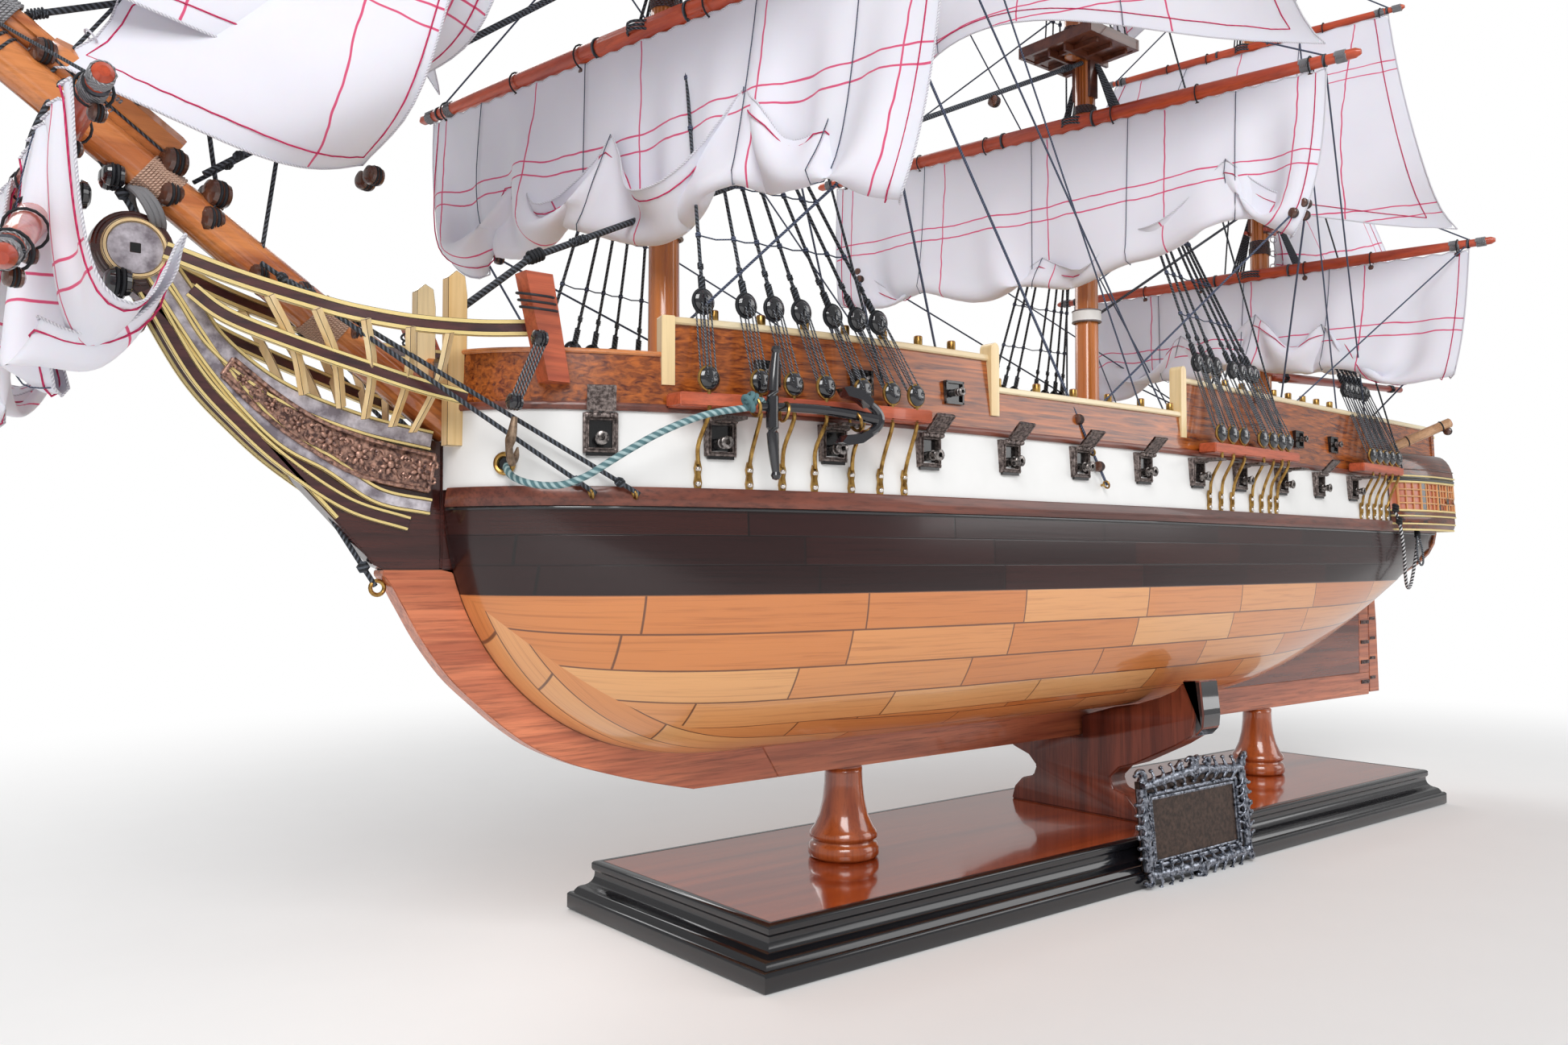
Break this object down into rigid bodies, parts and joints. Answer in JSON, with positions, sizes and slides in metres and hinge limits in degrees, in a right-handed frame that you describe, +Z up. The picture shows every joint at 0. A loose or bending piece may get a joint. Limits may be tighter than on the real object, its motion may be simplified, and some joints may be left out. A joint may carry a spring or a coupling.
{
  "type": "model sailing ship",
  "caption": "Three-masted square-rigged display ship with planked hull, hinged gunport lids, hung rudder and turning wheel, on pedestals over a moulded base.",
  "frame": {"origin": "centre of the stand's underside, on the surface it rests on", "axes": "+X runs aft along the ship, +Y to starboard, +Z up"},
  "size_m": [0.9564, 0.3007, 0.787],
  "materials": {
    "black_lacquer": "gloss black lacquer on moulded wood",
    "mahogany_gloss": "gloss lacquered mahogany",
    "rosewood": "satin rosewood with black lacquered edges",
    "dark_pewter": "dark antiqued pewter casting",
    "screw_steel": "plain steel",
    "keel_wood": "open-grained reddish wood, varnished",
    "dark_knee": "near-black brown lacquered wood with yellow mouldings",
    "plywood": "bare plywood",
    "honey_planks": "varnished cedar planks with dark seams",
    "maroon_planks": "gloss dark maroon planks",
    "brown_strake": "varnished brown strakes",
    "white_paint": "satin white paint on wood",
    "tiger_wood": "gloss varnished wood with dark figure",
    "pale_rail": "pale varnished boxwood",
    "deck_maple": "planked pale deck",
    "gallery_burl": "dark burl with yellow beads and orange panes",
    "yellow_rail": "yellow and dark striped rails",
    "rudder_wood": "varnished reddish wood with metal straps",
    "mast_wood": "gloss orange-brown dowel",
    "yard_red": "gloss red-stained dowel",
    "channel_red": "satin red-orange plank",
    "deadeye_black": "gloss black deadeyes in brass straps",
    "gun_bronze": "dark cast barrels",
    "anchor_black": "gloss black casting with brass rings",
    "fitting_wood": "satin brown wood and brass pins",
    "dark_rope": "dark laid thread",
    "sail_cloth": "white cotton with red seams"
  },
  "bodies": {
    "ship": {"base_board": "black_lacquer", "base_panel": "mahogany_gloss", "pedestals": "mahogany_gloss", "cradle": "rosewood", "nameplate": "dark_pewter", "keel_screws": "screw_steel", "keel": "keel_wood", "head_knee": "dark_knee", "hull_frames": "plywood", "bottom_planking": "honey_planks", "topside_planking": "maroon_planks", "wales": "brown_strake", "gun_bands": "white_paint", "bulwarks": "tiger_wood", "cap_rails": "pale_rail", "decks": "deck_maple", "transom": "tiger_wood", "quarter_galleries": "gallery_burl", "head_rails": "yellow_rail", "bowsprit": "mast_wood", "fore_mast": "mast_wood", "main_mast": "mast_wood", "mizzen_mast": "mast_wood", "yards": "yard_red", "gaff_and_boom": "yard_red", "channels": "channel_red", "deadeyes": "deadeye_black", "gunport_frames": "dark_pewter", "guns": "gun_bronze", "anchors": "anchor_black", "deck_fittings": "fitting_wood", "shrouds": "dark_rope", "rigging": "dark_rope", "sails": "sail_cloth"},
    "rudder": {"rudder": "rudder_wood"},
    "steering_wheel": {"steering_wheel": "fitting_wood"},
    "port_lid_1": {"port_lid_1": "dark_pewter"},
    "port_lid_2": {"port_lid_2": "dark_pewter"},
    "port_lid_3": {"port_lid_3": "dark_pewter"},
    "port_lid_4": {"port_lid_4": "dark_pewter"},
    "port_lid_5": {"port_lid_5": "dark_pewter"},
    "port_lid_6": {"port_lid_6": "dark_pewter"},
    "port_lid_7": {"port_lid_7": "dark_pewter"},
    "port_lid_8": {"port_lid_8": "dark_pewter"},
    "port_lid_9": {"port_lid_9": "dark_pewter"},
    "port_lid_10": {"port_lid_10": "dark_pewter"},
    "port_lid_11": {"port_lid_11": "dark_pewter"},
    "port_lid_12": {"port_lid_12": "dark_pewter"},
    "starboard_lid_1": {"starboard_lid_1": "dark_pewter"},
    "starboard_lid_2": {"starboard_lid_2": "dark_pewter"},
    "starboard_lid_3": {"starboard_lid_3": "dark_pewter"},
    "starboard_lid_4": {"starboard_lid_4": "dark_pewter"},
    "starboard_lid_5": {"starboard_lid_5": "dark_pewter"},
    "starboard_lid_6": {"starboard_lid_6": "dark_pewter"},
    "starboard_lid_7": {"starboard_lid_7": "dark_pewter"},
    "starboard_lid_8": {"starboard_lid_8": "dark_pewter"},
    "starboard_lid_9": {"starboard_lid_9": "dark_pewter"},
    "starboard_lid_10": {"starboard_lid_10": "dark_pewter"},
    "starboard_lid_11": {"starboard_lid_11": "dark_pewter"},
    "starboard_lid_12": {"starboard_lid_12": "dark_pewter"}
  },
  "joints": [
    {"name": "rudder_swing", "type": "hinge", "parent": "ship", "child": "rudder", "pos_m": [0.286, 0, 0.09], "axis": [0, 0, 1], "range_deg": [-35, 35]},
    {"name": "wheel_turn", "type": "hinge", "parent": "ship", "child": "steering_wheel", "pos_m": [0.138, 0, 0.213], "axis": [1, 0, 0], "continuous": true},
    {"name": "port_lid_1_hinge", "type": "hinge", "parent": "ship", "child": "port_lid_1", "pos_m": [-0.30142, -0.0476, 0.18505], "axis": [-0.9028, 0.4301, 0], "range_deg": [-120, 2]},
    {"name": "port_lid_2_hinge", "type": "hinge", "parent": "ship", "child": "port_lid_2", "pos_m": [-0.26376, -0.06019, 0.18505], "axis": [-0.9732, 0.2301, 0], "range_deg": [-40, 10]},
    {"name": "port_lid_3_hinge", "type": "hinge", "parent": "ship", "child": "port_lid_3", "pos_m": [-0.22137, -0.06744, 0.18505], "axis": [-0.9936, 0.1126, 0], "range_deg": [-40, 10]},
    {"name": "port_lid_4_hinge", "type": "hinge", "parent": "ship", "child": "port_lid_4", "pos_m": [-0.17813, -0.07061, 0.18505], "axis": [-0.9992, 0.041, 0], "range_deg": [-87, 35]},
    {"name": "port_lid_5_hinge", "type": "hinge", "parent": "ship", "child": "port_lid_5", "pos_m": [-0.13502, -0.07153, 0.18505], "axis": [-1, 0.0069, 0], "range_deg": [-87, 35]},
    {"name": "port_lid_6_hinge", "type": "hinge", "parent": "ship", "child": "port_lid_6", "pos_m": [-0.092, -0.07161, 0.18505], "axis": [-1, 0, 0], "range_deg": [-87, 35]},
    {"name": "port_lid_7_hinge", "type": "hinge", "parent": "ship", "child": "port_lid_7", "pos_m": [-0.049, -0.07161, 0.18505], "axis": [-1, 0, 0], "range_deg": [-87, 35]},
    {"name": "port_lid_8_hinge", "type": "hinge", "parent": "ship", "child": "port_lid_8", "pos_m": [-0.0058, -0.06992, 0.18505], "axis": [-0.9982, -0.0593, 0], "range_deg": [-40, 10]},
    {"name": "port_lid_9_hinge", "type": "hinge", "parent": "ship", "child": "port_lid_9", "pos_m": [0.03423, -0.06732, 0.18505], "axis": [-0.9976, -0.0693, 0], "range_deg": [-40, 10]},
    {"name": "port_lid_10_hinge", "type": "hinge", "parent": "ship", "child": "port_lid_10", "pos_m": [0.07725, -0.06419, 0.18505], "axis": [-0.9972, -0.0748, 0], "range_deg": [-40, 10]},
    {"name": "port_lid_11_hinge", "type": "hinge", "parent": "ship", "child": "port_lid_11", "pos_m": [0.12025, -0.06091, 0.18505], "axis": [-0.997, -0.077, 0], "range_deg": [-87, 35]},
    {"name": "port_lid_12_hinge", "type": "hinge", "parent": "ship", "child": "port_lid_12", "pos_m": [0.16326, -0.05756, 0.18505], "axis": [-0.9969, -0.0785, 0], "range_deg": [-40, 10]},
    {"name": "starboard_lid_1_hinge", "type": "hinge", "parent": "ship", "child": "starboard_lid_1", "pos_m": [-0.30142, 0.0476, 0.18505], "axis": [0.9028, 0.4301, 0], "range_deg": [-120, 2]},
    {"name": "starboard_lid_2_hinge", "type": "hinge", "parent": "ship", "child": "starboard_lid_2", "pos_m": [-0.26376, 0.06019, 0.18505], "axis": [0.9732, 0.2301, 0], "range_deg": [-40, 10]},
    {"name": "starboard_lid_3_hinge", "type": "hinge", "parent": "ship", "child": "starboard_lid_3", "pos_m": [-0.22137, 0.06744, 0.18505], "axis": [0.9936, 0.1126, 0], "range_deg": [-40, 10]},
    {"name": "starboard_lid_4_hinge", "type": "hinge", "parent": "ship", "child": "starboard_lid_4", "pos_m": [-0.17813, 0.07061, 0.18505], "axis": [0.9992, 0.041, 0], "range_deg": [-87, 35]},
    {"name": "starboard_lid_5_hinge", "type": "hinge", "parent": "ship", "child": "starboard_lid_5", "pos_m": [-0.13502, 0.07153, 0.18505], "axis": [1, 0.0069, 0], "range_deg": [-87, 35]},
    {"name": "starboard_lid_6_hinge", "type": "hinge", "parent": "ship", "child": "starboard_lid_6", "pos_m": [-0.092, 0.07161, 0.18505], "axis": [1, 0, 0], "range_deg": [-87, 35]},
    {"name": "starboard_lid_7_hinge", "type": "hinge", "parent": "ship", "child": "starboard_lid_7", "pos_m": [-0.049, 0.07161, 0.18505], "axis": [1, 0, 0], "range_deg": [-87, 35]},
    {"name": "starboard_lid_8_hinge", "type": "hinge", "parent": "ship", "child": "starboard_lid_8", "pos_m": [-0.0058, 0.06992, 0.18505], "axis": [0.9982, -0.0593, 0], "range_deg": [-40, 10]},
    {"name": "starboard_lid_9_hinge", "type": "hinge", "parent": "ship", "child": "starboard_lid_9", "pos_m": [0.03423, 0.06732, 0.18505], "axis": [0.9976, -0.0693, 0], "range_deg": [-40, 10]},
    {"name": "starboard_lid_10_hinge", "type": "hinge", "parent": "ship", "child": "starboard_lid_10", "pos_m": [0.07725, 0.06419, 0.18505], "axis": [0.9972, -0.0748, 0], "range_deg": [-40, 10]},
    {"name": "starboard_lid_11_hinge", "type": "hinge", "parent": "ship", "child": "starboard_lid_11", "pos_m": [0.12025, 0.06091, 0.18505], "axis": [0.997, -0.077, 0], "range_deg": [-87, 35]},
    {"name": "starboard_lid_12_hinge", "type": "hinge", "parent": "ship", "child": "starboard_lid_12", "pos_m": [0.16326, 0.05756, 0.18505], "axis": [0.9969, -0.0785, 0], "range_deg": [-40, 10]}
  ]
}
